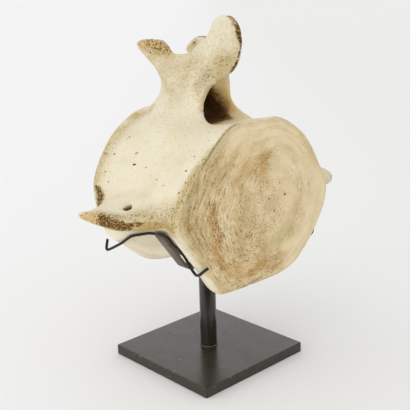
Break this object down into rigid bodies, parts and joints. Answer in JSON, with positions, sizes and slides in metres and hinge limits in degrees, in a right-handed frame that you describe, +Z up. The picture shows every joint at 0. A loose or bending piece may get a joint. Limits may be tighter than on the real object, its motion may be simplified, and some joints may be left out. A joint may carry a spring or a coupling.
{
  "type": "whale tail vertebra on a metal stand",
  "caption": "Large weathered whale tail vertebra with broken-edged processes, held by a bent strap and two wires on a round post and square plate.",
  "frame": {"origin": "centre of the base plate's underside", "axes": "+Z up along the post, +Y towards the animal's head, +X towards the animal's right side; the large round rear face looks along -Y"},
  "size_m": [0.4019, 0.2214, 0.505],
  "materials": {
    "weathered_bone": null,
    "plate_steel": "dark, half-matt",
    "post_steel": "dark, half-gloss",
    "strap_steel": "dark, half-matt, a little rust at the welds",
    "left_wire_steel": "dark, half-matt round wire",
    "right_wire_steel": "dark, half-matt round wire"
  },
  "bodies": {
    "root": {"vertebra": "weathered_bone", "base_plate": "plate_steel", "post": "post_steel", "cradle_strap": "strap_steel", "cradle_wire_left": "left_wire_steel", "cradle_wire_right": "right_wire_steel"}
  },
  "joints": []
}
